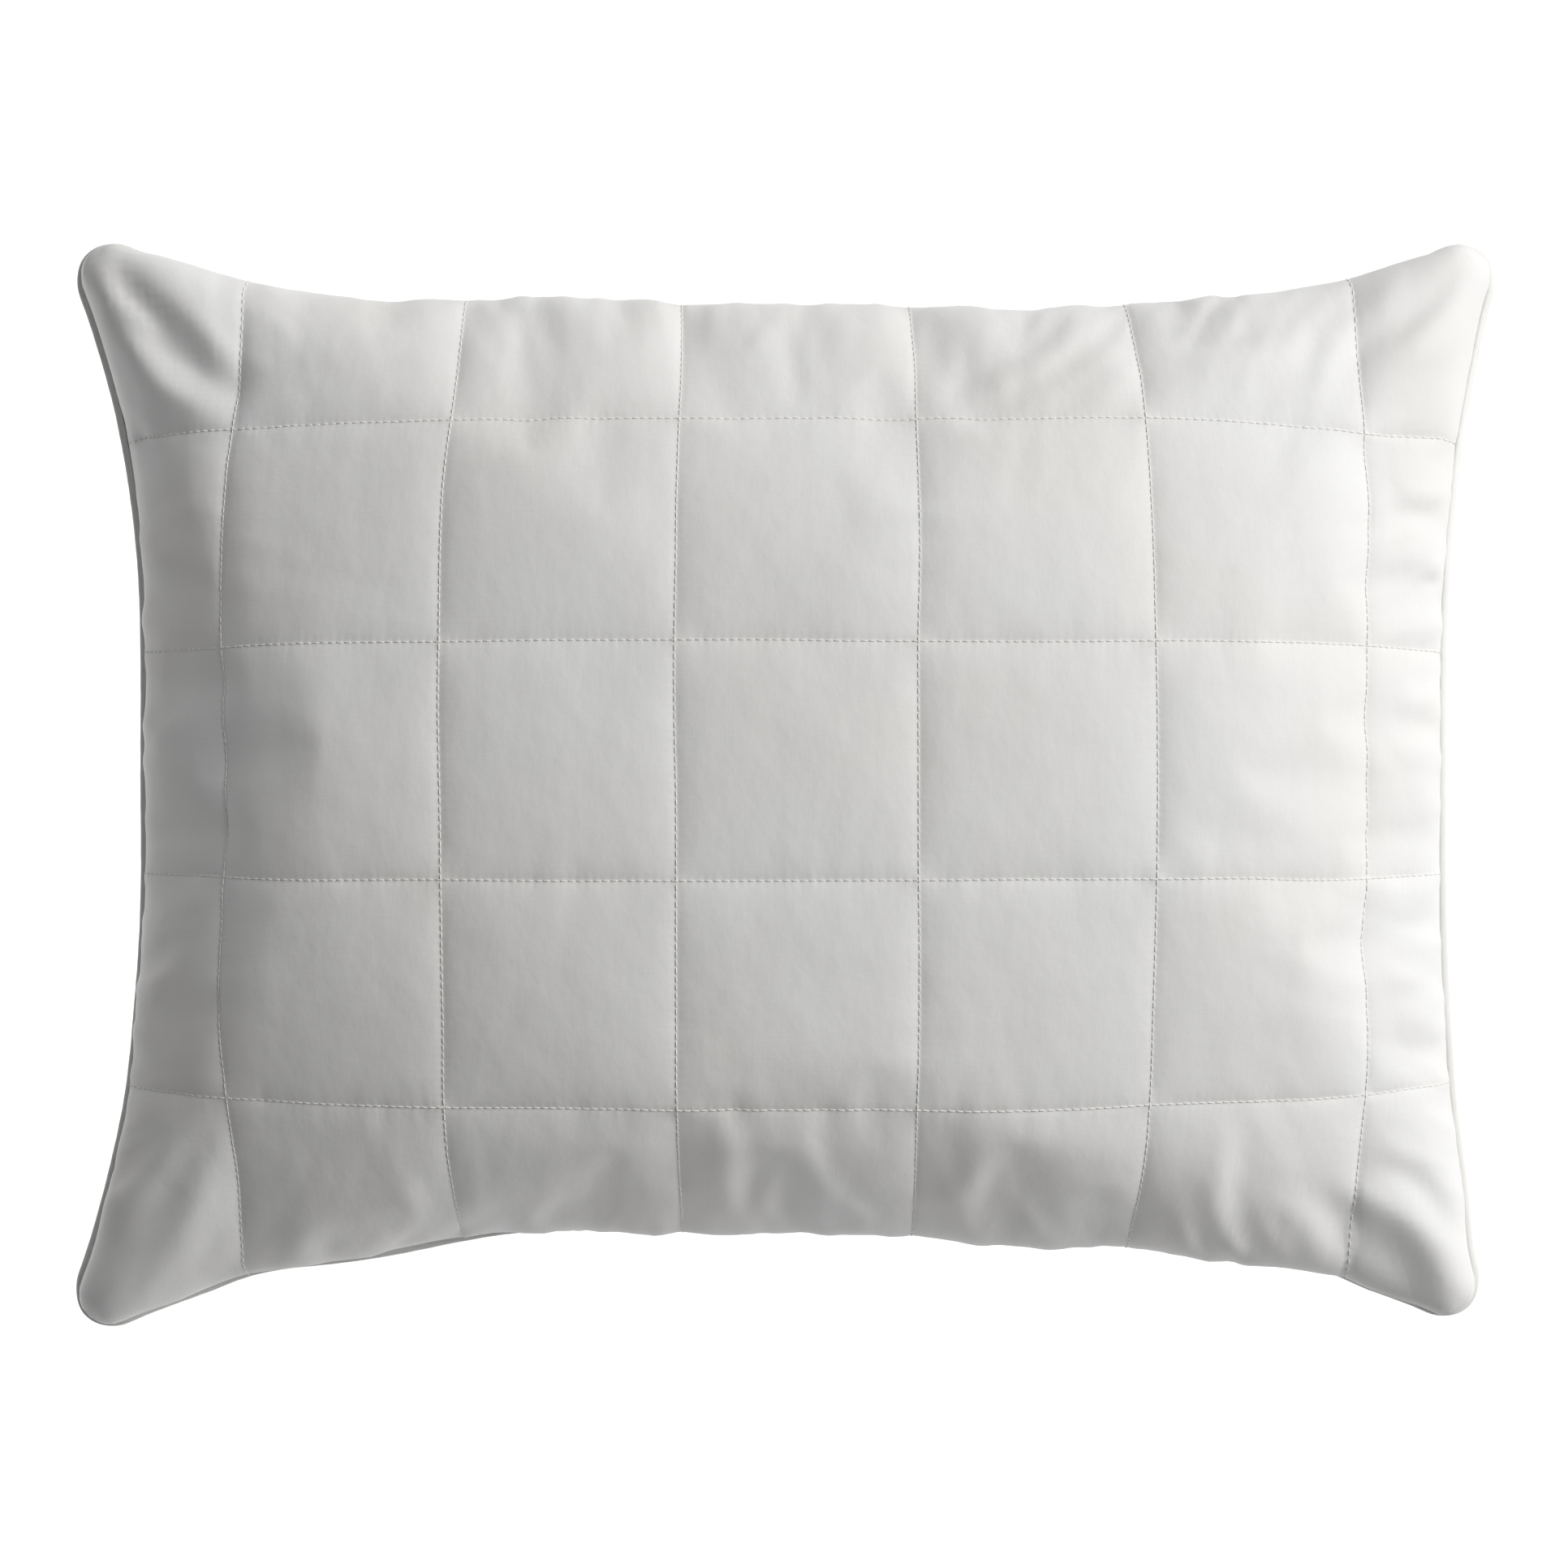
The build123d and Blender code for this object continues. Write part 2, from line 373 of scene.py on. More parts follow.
def gathered_in(points):
    """Panel with the cloth near the seam gathered towards the middle of each side."""
    u, v = cloth_grid(SIM_STEP)
    points = points.copy()
    points[..., 0] = SEAM_X * gathered(points[..., 0] / SEAM_X, GATHER_X * (v / CUT_Y) ** 2)
    points[..., 1] = SEAM_Y * gathered(points[..., 1] / SEAM_Y, GATHER_Y * (u / CUT_X) ** 2)
    return points


def bulged(points):
    """Panel with its sides standing out over the seam, unevenly, as loose cloth does."""
    u, v = cloth_grid(SIM_STEP)
    edge_u = CUT_X - np.abs(u)
    edge_v = CUT_Y - np.abs(v)
    edge = np.minimum(edge_u, edge_v)
    near_u = np.exp(-edge_u / BULGE_REACH)
    near_v = np.exp(-edge_v / BULGE_REACH)
    length = np.maximum(np.hypot(near_u, near_v), 1e-9)
    near_ears = 1 + 0.3 * bell(np.abs(u) - 0.275, 0.045)
    left = BULGE_LEFT * (1 - 0.9 * bell(v - 0.165, 0.045) + 0.5 * bell(v + 0.120, 0.060))
    front = BULGE_FRONT * (1 - 0.5 * bell(u + 0.190, 0.050)) * np.where(u > 0, near_ears, 1)
    back = BULGE_BACK * near_ears
    side_u = np.where(u > 0, BULGE_RIGHT, left) * (1 + 0.22 * line_noise(v, 0.020, BULGE_SEED))
    side_v = np.where(v > 0, back, front) * (1 + 0.08 * line_noise(u, 0.035, BULGE_SEED + 1))
    swell = edge / BULGE_DEPTH * np.exp(1 - edge / BULGE_DEPTH)
    points = points.copy()
    points[..., 0] += np.sign(u) * side_u * swell * near_u / length
    points[..., 1] += np.sign(v) * side_v * swell * near_v / length
    return points


def eared(points):
    """Panel with each ear where it hangs and its tip filled out round."""
    points = points.copy()
    to_tip = CUT_CORNER * (1 - math.sqrt(0.5))
    for (side_x, side_y), (shift_x, shift_y) in EAR_SHIFTS.items():
        from_tip_x = points[..., 0] - side_x * (SEAM_X - to_tip)
        from_tip_y = points[..., 1] - side_y * (SEAM_Y - to_tip)
        away = np.hypot(from_tip_x, from_tip_y)
        whole = bell(away, EAR_REACH)
        tip = EAR_ROUND * math.sqrt(0.5) * bell(away, TIP_REACH)
        points[..., 0] += side_x * (shift_x * whole + tip)
        points[..., 1] += side_y * (shift_y * whole + tip)
    return points


def drooped(points):
    """Panel with its ears hanging and its seam waving a little up and down."""
    u, v = cloth_grid(SIM_STEP)
    towards_ear = np.clip(np.abs(u * v) / (CUT_X * CUT_Y), 0, 1)
    wave = SEAM_WAVE * value_noise(u, v, 0.06, 5) * np.exp(-to_seam(u, v) / 0.03)
    points = points.copy()
    points[..., 2] += wave - EAR_DROOP * towards_ear ** 2
    return points


def settle(top, bottom):
    """Sets both panels in the frame: the crown at its height and the belly pressed flat."""
    stack = LINE_THICKNESS + PUFF
    top = top.copy()
    bottom = bottom.copy()
    top[..., 2] *= (CROWN - stack) / top[..., 2].max()
    bottom[..., 2] *= CROWN / -bottom[..., 2].min()
    top = drooped(top)
    bottom = drooped(bottom)
    bottom[..., 2] = soft_floor(bottom[..., 2], FLOOR_Z - SEAM_Z + stack - BELLY_PRESS, BELLY_KNEE)
    rim = np.ones(top.shape[:2], bool)
    rim[1:-1, 1:-1] = False
    bottom[rim] = top[rim]
    top[..., 2] += SEAM_Z
    bottom[..., 2] += SEAM_Z
    return top, bottom


class Panel:
    """One panel's middle surface, read anywhere by smooth interpolation in cloth coordinates."""

    def __init__(self, points, side):
        self.points = points
        self.side = side
        self.shape = points.shape[:2]
        inset = int(round(CUT_CORNER / SIM_STEP))
        self.ear_centres = {}
        ends = ((-1, inset, 0), (1, -1 - inset, -1))
        for (sign_u, row, rim_row), (sign_v, column, rim_column) in product(ends, ends):
            centre = points[row, column].copy()
            centre[2] = points[rim_row, rim_column, 2]
            self.ear_centres[sign_u, sign_v] = centre

    def weights(self, place, reach, count):
        """Grid cell of each place, and the weights of the four grid points round it."""
        grid = (np.clip(place, -reach, reach) + reach) / (2 * reach) * (count - 1)
        first = np.clip(np.floor(grid).astype(int), 0, count - 2)
        t = grid - first
        w = np.stack([
            -0.5 * t + t ** 2 - 0.5 * t ** 3,
            1 - 2.5 * t ** 2 + 1.5 * t ** 3,
            0.5 * t + 2 * t ** 2 - 1.5 * t ** 3,
            -0.5 * t ** 2 + 0.5 * t ** 3,
        ])
        return first, w

    def base(self, u, v):
        """Middle surface."""
        first_u, wu = self.weights(u, CUT_X, self.shape[0])
        first_v, wv = self.weights(v, CUT_Y, self.shape[1])
        total = np.zeros(np.shape(u) + (3,))
        for i in range(4):
            rows = np.clip(first_u + i - 1, 0, self.shape[0] - 1)
            for j in range(4):
                columns = np.clip(first_v + j - 1, 0, self.shape[1] - 1)
                total += (wu[i] * wv[j])[..., None] * self.points[rows, columns]
        total[..., 2] += self.side * SEAM_GAP
        return total

    def normal(self, u, v):
        """Unit normal that points out of the pillow."""
        step = 0.0025
        along_u = self.base(u + step, v) - self.base(u - step, v)
        along_v = self.base(u, v + step) - self.base(u, v - step)
        n = unit(np.cross(along_u, along_v) * self.side)
        near_ear = np.exp(-(CUT_X - np.abs(u) + CUT_Y - np.abs(v)) / CUT_CORNER)[..., None]
        points = self.base(u, v)
        for (sign_u, sign_v), centre in self.ear_centres.items():
            here = ((np.sign(u) == sign_u) & (np.sign(v) == sign_v))[..., None]
            n = np.where(here, n * (1 - near_ear) + unit(points - centre) * near_ear, n)
        return unit(n)

    def outside(self, u, v, offset=0.0):
        """Outer face of the quilted cloth, moved out by offset."""
        height = relief(u, v, self.side)
        under = np.minimum(height, LINE_THICKNESS)
        normal = self.normal(u, v)
        shown = np.array([SIDEWAYS, SIDEWAYS, 1.0])
        points = self.base(u, v) + normal * (under + offset)[..., None]
        points += normal * (height - under)[..., None] * shown
        if self.side < 0:
            points[..., 2] = soft_floor(points[..., 2], FLOOR_Z + FLOOR_GAP - offset, FLOOR_KNEE)
        return points


# ---- relief of the quilting, in cloth coordinates
def line_distance(across, along, places, seed):
    """Distance to the nearest quilting line of one direction."""
    nearest = np.full(np.shape(across), 1.0)
    for index, place in enumerate(places):
        nearest = np.minimum(nearest, np.abs(across - place - wobble(index, along, seed)))
    return nearest


def crease(distance, width):
    """0 on a line, rising sharply beside it and levelling off."""
    rounding = 0.0005
    soft = np.sqrt(distance ** 2 + rounding ** 2) - rounding
    return 1 - np.exp(-soft / width)


def shoulder(distance, fading):
    """A cell's rise from a quilting line: a tight one and a round one together."""
    return fading + (1 - fading) * sum(share * crease(distance, width) for share, width in SHOULDERS)


def cell_puff(cross, long, edge):
    """How far a cell is filled out, from 0 on its border to 1."""
    fading = 0.25 * np.exp(-edge / SEAM_SHOULDER)
    sharp = shoulder(cross, fading) * shoulder(long, fading) * crease(edge, SEAM_SHOULDER)
    broad_cross = 1 - (1 - np.clip(cross / (PITCH / 2), 0, 1)) ** 2
    broad_long = 1 - (1 - np.clip(long / (PITCH / 2), 0, 1)) ** 2
    return 0.7 * sharp + 0.3 * sharp * broad_cross * broad_long


def seam_gathers(along, edge, seed):
    """Folds that run in from the seam, fanning out a little."""
    fan = along * (1 + 0.35 * edge / 0.1)
    pattern = value_noise(fan, edge * 0.25, 0.0115, seed)
    pattern += 0.5 * value_noise(fan, edge * 0.2, 0.0055, seed + 1)
    strength = 0.30 + 0.70 * np.clip(line_noise(along, 0.06, seed + 2) + 0.35, 0, 1)
    reach = 0.024 + 0.026 * np.clip(line_noise(along, 0.03, seed + 3) + 0.4, 0, 1)
    envelope = np.clip(edge / 0.012, 0, 1) * np.exp(-edge / reach)
    return GATHER_HEIGHT * pattern * strength * envelope


def rumples(u, v, edge, seed):
    """Soft creases near the seam: they run in from the sides, and out to the ears on a slant."""
    size = 0.012
    rising = (u + v) / math.sqrt(2)
    falling = (u - v) / math.sqrt(2)
    to_ear = np.where(
        u * v > 0,
        value_noise(rising * 0.3, falling, size, seed),
        value_noise(rising, falling * 0.3, size, seed),
    )
    share = long_side_share(u, v)
    inward = share * value_noise(u, v * 0.3, size, seed + 1)
    inward += (1 - share) * value_noise(u * 0.3, v, size, seed + 1)
    ear = np.clip((np.abs(u * v) / (CUT_X * CUT_Y) - 0.35) / 0.3, 0, 1)
    patchy = 0.25 + 0.75 * np.clip(value_noise(u, v, 0.045, seed + 2) + 0.4, 0, 1)
    envelope = np.clip(edge / 0.012, 0, 1) * np.exp(-edge / 0.038)
    return RUMPLE_HEIGHT * (1.5 * ear * to_ear + (1 - ear) * inward) * patchy * envelope


def fold(u, v, start, end, width, height):
    """One soft fold along a straight stretch of the cloth: a ridge with a shallower valley beside it."""
    run_u = end[0] - start[0]
    run_v = end[1] - start[1]
    length = math.hypot(run_u, run_v)
    along = ((u - start[0]) * run_u + (v - start[1]) * run_v) / length
    across = ((v - start[1]) * run_u - (u - start[0]) * run_v) / length
    along = np.clip(along / length, -0.25, 1.25)
    taper = np.cos((along - 0.5) * math.pi / 1.5) ** 1.5
    across = across / width + 0.5 * np.sin(along * 5 + start[0] * 0.060)
    return height * taper * (np.exp(-across ** 2) - 0.7 * np.exp(-(across - 1.5) ** 2))


# Folds of the upper panel, in millimetres of cloth: start, end, half width and height.
FOLDS = [
    ((86, 178), (150, 232), 8, 1.6), ((104, 176), (178, 222), 7, 1.3),
    ((128, 174), (182, 202), 9, 1), ((182, 186), (262, 226), 9, 1.9),
    ((190, 212), (250, 240), 8, 1.3), ((248, 190), (292, 238), 7, 1.8),
    ((276, 192), (316, 238), 9, 2), ((-254, 204), (-306, 238), 9, 2.1),
    ((-316, 238), (-306, 216), 5, 1.6), ((-296, 246), (-276, 236), 5, 1.4),
    ((-322, 222), (-272, 180), 9, 2.4), ((-312, 208), (-276, 172), 8, 1.5),
    ((-268, 236), (-228, 205), 9, 1), ((8, 178), (14, 226), 5, 0.7),
    ((-12, 214), (-4, 246), 5, 0.8), ((-30, -160), (-19, -232), 7, 1.8),
    ((-9, -196), (-2, -246), 6, 1.8), ((10, -158), (16, -212), 6, 1),
    ((25, -196), (36, -244), 7, 1.4), ((86, -172), (84, -240), 7, 1.7),
    ((116, -196), (112, -240), 9, 1.1), ((-172, -188), (-196, -240), 9, 1.8),
    ((-216, -206), (-244, -244), 9, 1.7), ((-112, -204), (-124, -242), 9, 1.1),
    ((200, -174), (220, -246), 8, 2.1), ((184, -206), (210, -246), 7, 1.6),
    ((238, -196), (262, -244), 8, 1.5), ((-316, -240), (-264, -190), 11, 3),
    ((-324, -210), (-280, -170), 9, 2), ((316, -240), (276, -192), 11, 2.8),
    ((322, -206), (288, -168), 9, 1.8), ((-322, 118), (-284, 108), 7, 1.3),
    ((-322, 30), (-290, 22), 8, 1), ((-322, -92), (-282, -86), 8, 1.2),
    ((324, 132), (292, 150), 8, 1.6), ((324, 12), (290, 20), 7, 1.2),
    ((324, -98), (286, -84), 9, 1.8),
]


def relief(u, v, side):
    """Height of the outer cloth over the middle surface."""
    seed = RELIEF_SEEDS[side]
    cross = line_distance(u, v, CROSS_PLACES, seed)
    long = line_distance(v, u, LONG_PLACES, seed + 1)
    edge_u = CUT_X - np.abs(u)
    edge_v = CUT_Y - np.abs(v)
    edge = np.minimum(edge_u, edge_v)
    puff = PUFF * (1 + SIDE_PUFF * np.clip(1 - edge / SIDE_PUFF_REACH, 0, 1)) * cell_puff(cross, long, edge)
    puff *= 1 + 0.12 * value_noise(u, v, 0.11, seed + 2)
    base = LINE_THICKNESS * np.clip(edge / 0.006, 0, 1) ** 0.5
    patchy = np.clip(value_noise(u, v, 0.08, seed + 7) + 0.5, 0, 1.2)
    ripples = 0.0005 * patchy * value_noise(u, v * 0.3, 0.010, seed + 3) * np.exp(-long / 0.013)
    ripples += 0.0004 * patchy * value_noise(u * 0.3, v, 0.010, seed + 4) * np.exp(-cross / 0.012)
    crumple = 0.00030 * value_noise(u, v, 0.035, seed + 5) + 0.00006 * value_noise(u, v, 0.010, seed + 6)
    calm = np.clip(edge / 0.004, 0, 1)
    gathers = seam_gathers(u, edge_v, seed + 20) + seam_gathers(v, edge_u, seed + 30)
    total = base + puff + (ripples + crumple) * calm + gathers + rumples(u, v, edge, seed + 40)
    if side > 0:
        for start, end, width, height in FOLDS:
            total += FOLD_SCALE * 0.001 * fold(1000 * u, 1000 * v, start, end, width, height) * calm
    return np.maximum(total, LEAST_THICKNESS * calm)


# ---- meshes
def grid_quads(ids):
    """Quads of a grid of vertex numbers."""
    a = ids[:-1, :-1].ravel()
    b = ids[1:, :-1].ravel()
    c = ids[1:, 1:].ravel()
    d = ids[:-1, 1:].ravel()
    return np.stack([a, b, c, d], 1)


def mesh_object(name, points, faces, smooth=True):
    """A mesh object in the scene."""
    mesh = bpy.data.meshes.new(name)
    face_list = faces.tolist() if isinstance(faces, np.ndarray) else faces
    mesh.from_pydata(np.asarray(points).tolist(), [], face_list)
    mesh.update()
    if smooth:
        mesh.polygons.foreach_set("use_smooth", [True] * len(mesh.polygons))
    piece = bpy.data.objects.new(name, mesh)
    bpy.context.scene.collection.objects.link(piece)
    return piece


def set_uv(piece, coordinates):
    """UV of each vertex, in metres of cloth."""
    mesh = piece.data
    layer = mesh.uv_layers.new(name="cloth")
    corner = np.empty(len(mesh.loops), dtype=np.int64)
    mesh.loops.foreach_get("vertex_index", corner)
    layer.data.foreach_set("uv", np.asarray(coordinates)[corner].astype(np.float32).ravel())


def set_attribute(piece, name, values):
    """A number on each vertex, for the material."""
    attribute = piece.data.attributes.new(name, "FLOAT", "POINT")
    attribute.data.foreach_set("value", np.asarray(values, dtype=np.float32).ravel())


def rim_loop(shape):
    """Grid indices round the border of a grid, counter-clockwise."""
    n, m = shape
    bottom = [(i, 0) for i in range(n - 1)]
    right = [(n - 1, j) for j in range(m - 1)]
    top = [(i, m - 1) for i in range(n - 1, 0, -1)]
    left = [(0, j) for j in range(m - 1, 0, -1)]
    return bottom + right + top + left


def closed_layer(name, outer, inner, u, v, side):
    """A closed sheet between two grids of points."""
    n, m = u.shape
    outer_ids = np.arange(n * m).reshape(n, m)
    inner_ids = outer_ids + n * m
    outer_quads = grid_quads(outer_ids)
    inner_quads = grid_quads(inner_ids)[:, ::-1]
    loop = rim_loop((n, m))
    ids = np.array([outer_ids[place] for place in loop])
    following = np.roll(ids, -1)
    rim = np.stack([ids, ids + n * m, following + n * m, following], 1)
    faces = np.concatenate([outer_quads, inner_quads, rim])
    if side < 0:
        faces = faces[:, ::-1]
    points = np.concatenate([outer.reshape(-1, 3), inner.reshape(-1, 3)])
    piece = mesh_object(name, points, faces)
    x, y = cut_outline(u, v)
    cloth = np.stack([x, y], -1).reshape(-1, 2)
    set_uv(piece, np.concatenate([cloth, cloth]))
    return piece


def detail_axis(reach, lines):
    """Grid places across the cloth, close together beside the quilting lines and the seam."""
    fine = 0.0010
    coarse = 0.0032
    near = 0.004
    stops = [-reach, *lines, reach]
    places = []
    for low, high in zip(stops[:-1], stops[1:]):
        steps = int(round(near / fine))
        middle = int(round((high - low - 2 * near) / coarse))
        places.extend(np.linspace(low, low + near, steps, endpoint=False))
        places.extend(np.linspace(low + near, high - near, middle, endpoint=False))
        places.extend(np.linspace(high - near, high, steps, endpoint=False))
    places.append(reach)
    return np.array(places)


# ---- pieces
def make_shell(name, panel):
    """Woven cloth of one panel, with its distances from lines and sides for the material."""
    u, v = np.meshgrid(detail_axis(CUT_X, CROSS_PLACES), detail_axis(CUT_Y, LONG_PLACES), indexing="ij")
    outer = panel.outside(u, v)
    inward = SHELL_THICKNESS * np.clip(to_seam(u, v) / 0.002, 0.3, 1)
    inner = outer - panel.normal(u, v) * inward[..., None]
    piece = closed_layer(name, outer, inner, u, v, panel.side)
    seed = RELIEF_SEEDS[panel.side]
    distances = {
        "cross_distance": line_distance(u, v, CROSS_PLACES, seed),
        "long_distance": line_distance(v, u, LONG_PLACES, seed + 1),
        "short_side_distance": CUT_X - np.abs(u),
        "long_side_distance": CUT_Y - np.abs(v),
    }
    for label, distance in distances.items():
        set_attribute(piece, label, np.concatenate([distance.ravel(), distance.ravel()]))
    return piece


def make_wadding(name, panel):
    """Wadding between the cloth and the scrim, thick in the cells and pinched on the lines."""
    u, v = cloth_grid(0.004, LAYER_INSET)
    outer = panel.outside(u, v, -SHELL_THICKNESS - 0.0003)
    inner = panel.base(u, v) + panel.normal(u, v) * 0.0001
    piece = closed_layer(name, outer, inner, u, v, panel.side)
    return piece


def make_backing(name, panel):
    """Scrim behind the wadding, which the quilting is sewn through to."""
    u, v = cloth_grid(0.005, LAYER_INSET)
    outer = panel.base(u, v) - panel.normal(u, v) * 0.0002
    inner = panel.base(u, v) - panel.normal(u, v) * 0.0006
    piece = closed_layer(name, outer, inner, u, v, panel.side)
    return piece


def make_fill(top, bottom):
    """Loose fibre inside, lumpy where it presses on the scrim."""
    u, v = cloth_grid(0.006, FIBRE_INSET)
    lump = (0.0012 + 0.0008 * value_noise(u, v, 0.02, 81))[..., None]
    upper, lower = [panel.base(u, v) - panel.normal(u, v) * lump for panel in (top, bottom)]
    piece = closed_layer("fibre_fill_core", upper, lower, u, v, 1)
    return piece


def stitch_mesh(name, centres, tangents, normals):
    """A row of short sewn threads: each one arches out of the cloth and dives back in."""
    sections = 6
    along = np.array([-0.5, -0.38, 0.0, 0.38, 0.5]) * STITCH_LENGTH
    height = np.array([-0.00030, 0.00008, 0.00016, 0.00008, -0.00030])
    thick = np.array([0.75, 1.0, 1.05, 1.0, 0.75]) * THREAD_RADIUS
    sideways = np.cross(tangents, normals)
    angles = np.arange(sections) / sections * 2 * math.pi
    count = len(centres)
    points = np.empty((count, len(along), sections, 3))
    for ring in range(len(along)):
        middle = centres + tangents * along[ring] + normals * height[ring]
        for corner, angle in enumerate(angles):
            out = sideways * math.cos(angle) + normals * math.sin(angle)
            points[:, ring, corner] = middle + out * thick[ring]
    ids = np.arange(count * len(along) * sections).reshape(count, len(along), sections)
    around = np.roll(ids, -1, axis=2)
    faces = np.stack([ids[:, :-1], ids[:, 1:], around[:, 1:], around[:, :-1]], -1).reshape(-1, 4).tolist()
    faces += ids[:, 0].tolist()
    faces += ids[:, -1, ::-1].tolist()
    piece = mesh_object(name, points.reshape(-1, 3), faces)
    turn = np.tile(np.arange(sections) / sections, count * len(along))
    lengthwise = np.tile(np.repeat(along, sections), count)
    offset = np.repeat(np.arange(count) * STITCH_PITCH, len(along) * sections)
    set_uv(piece, np.stack([lengthwise + offset, turn], 1))
    return piece


def make_quilting(name, panel, crossing):
    """All the stitches of one panel's lines that run one way."""
    seed = RELIEF_SEEDS[panel.side]
    places, reach = (CROSS_PLACES, CUT_Y) if crossing else (LONG_PLACES, CUT_X)
    end = reach - 0.004
    rng = np.random.default_rng(seed + (7 if crossing else 8))
    rows = []
    for index, place in enumerate(places):
        along = np.arange(-end, end, STITCH_PITCH) + rng.uniform(0, STITCH_PITCH)
        along = along + rng.normal(0, 0.00012, along.size)
        strayed = place + wobble(index, along, seed if crossing else seed + 1)
        rows.append((strayed, along) if crossing else (along, strayed))
    u, v = np.concatenate(rows, axis=1)
    step = 0.001
    du, dv = (0, step) if crossing else (step, 0)
    centres = panel.outside(u, v, 0.00005)
    tangents = unit(panel.outside(u + du, v + dv) - panel.outside(u - du, v - dv))
    normals = panel.normal(u, v)
    normals = unit(normals - tangents * (normals * tangents).sum(-1, keepdims=True))
    if panel.side < 0:
        centres[:, 2] = np.maximum(centres[:, 2], FLOOR_Z + 0.0009)
    return stitch_mesh(name, centres, tangents, normals)


def seam_path(panel, spacing):
    """Evenly spaced points along the seam, with the ways along, outward and upward, and the distance."""
    count = 4000
    window = 21
    corners = np.array([panel.points[place] for place in rim_loop(panel.shape)])
    closed = np.vstack([corners, corners[:1]])
    lengths = np.concatenate([[0], np.cumsum(np.linalg.norm(np.diff(closed, axis=0), axis=1))])
    total = lengths[-1]
    dense = np.linspace(0, total, count, endpoint=False)
    line = np.stack([np.interp(dense, lengths, closed[:, axis]) for axis in range(3)], 1)
    wrapped = np.vstack([line[-window:], line, line[:window]])
    kernel = np.hanning(window)
    kernel /= kernel.sum()
    smooth = [np.convolve(wrapped[:, axis], kernel, mode="same")[window:-window] for axis in range(3)]
    line = np.stack(smooth, 1)
    wanted = int(round(total / spacing))
    pick = np.arange(wanted) * count / wanted
    low = np.floor(pick).astype(int) % count
    part = (pick - np.floor(pick))[:, None]
    points = line[low] * (1 - part) + line[(low + 1) % count] * part
    tangents = unit(np.roll(points, -1, 0) - np.roll(points, 1, 0))
    outward = unit(np.cross(tangents, np.array([0, 0, 1.0])))
    upward = np.cross(outward, tangents)
    return points, tangents, outward, upward, np.arange(wanted) * spacing


def swept(name, points, outward, upward, section, distance):
    """A closed tube along a closed path. section is its outline at each point, as (out, up) pairs."""
    count, corners = section.shape[:2]
    out, up = section[..., 0:1], section[..., 1:2]
    place = points[:, None, :] + out * outward[:, None, :] + up * upward[:, None, :]
    a = np.arange(count * corners).reshape(count, corners)
    b = np.roll(a, -1, axis=1)
    c = np.roll(b, -1, axis=0)
    d = np.roll(a, -1, axis=0)
    faces = np.stack([a, b, c, d], -1).reshape(-1, 4)[:, ::-1]
    piece = mesh_object(name, place.reshape(-1, 3), faces)
    across = np.tile(np.arange(corners) * 0.0006, count)
    set_uv(piece, np.stack([np.repeat(distance, corners), across], 1))
    return piece


def cover_outline():
    """Section of the bias strip: folded round the cord, with both plies running into the seam."""
    ply = 0.00045
    half = 0.0005  # half the flange's thickness
    slit = 0.00006  # half the gap between its plies
    end, middle, throat = -0.0115, -0.006, -0.0028

    def ring(radius, first, last, count):
        angles = np.radians(np.linspace(first, last, count))
        return [(radius * math.cos(angle), radius * math.sin(angle)) for angle in angles]

    outline = [(place, half) for place in (end, middle, throat)]
    outline += ring(PIPING_RADIUS, 166, -166, 23)
    outline += [(place, -half) for place in (throat, middle, end)]
    outline += [(end, -slit), (middle, -slit)]
    outline += ring(PIPING_RADIUS - ply, -176, 176, 17)
    outline += [(middle, slit), (end, slit)]
    return np.array(outline[::-1])


def make_piping_cover(path):
    """Bias strip round the cord, swelling and puckering a little along its length."""
    points, _, outward, upward, distance = path
    outline = cover_outline()
    angle = np.arctan2(outline[:, 1], outline[:, 0])
    on_tube = np.hypot(outline[:, 0], outline[:, 1]) < PIPING_RADIUS * 1.01
    slant = distance[:, None] + 0.0015 * angle[None, :]
    swell = 1 + 0.035 * line_noise(slant, 0.0045, 91) + 0.03 * line_noise(slant, 0.02, 92)
    section = outline[None] * np.where(on_tube, swell, 1.0)[..., None]
    middle = points + outward * PIPING_STANDOFF
    return swept("piping_bias_cover", middle, outward, upward, section, distance)


def make_piping_cord(path):
    """Twisted three-strand cord inside the piping."""
    points, _, outward, upward, distance = path
    lay = 0.009  # length of one turn of the twist
    angle = np.arange(14) / 14 * 2 * math.pi
    twist = 1.5 * (angle[None, :] + distance[:, None] / lay * 2 * math.pi)
    radius = CORD_RADIUS * (1 - 0.16 * (1 - np.abs(np.sin(twist))))
    section = np.stack([radius * np.cos(angle), radius * np.sin(angle)], -1)
    middle = points + outward * PIPING_STANDOFF
    return swept("piping_core_cord", middle, outward, upward, section, distance)


def make_seam_stitches(name, path, inset, on_opening):
    """Stitches above and below the flange, along the closed opening or along all the rest."""
    points, tangents, outward, upward, _ = path
    beside = (points[:, 0] > 0) & (np.abs(points[:, 1]) < OPENING / 2)
    chosen = beside == on_opening
    centres = [(points + upward * side * 0.00062 - outward * inset)[chosen] for side in (1, -1)]
    normals = np.concatenate([upward[chosen], -upward[chosen]])
    along = np.concatenate([tangents[chosen], tangents[chosen]])
    return stitch_mesh(name, np.concatenate(centres), along, normals)


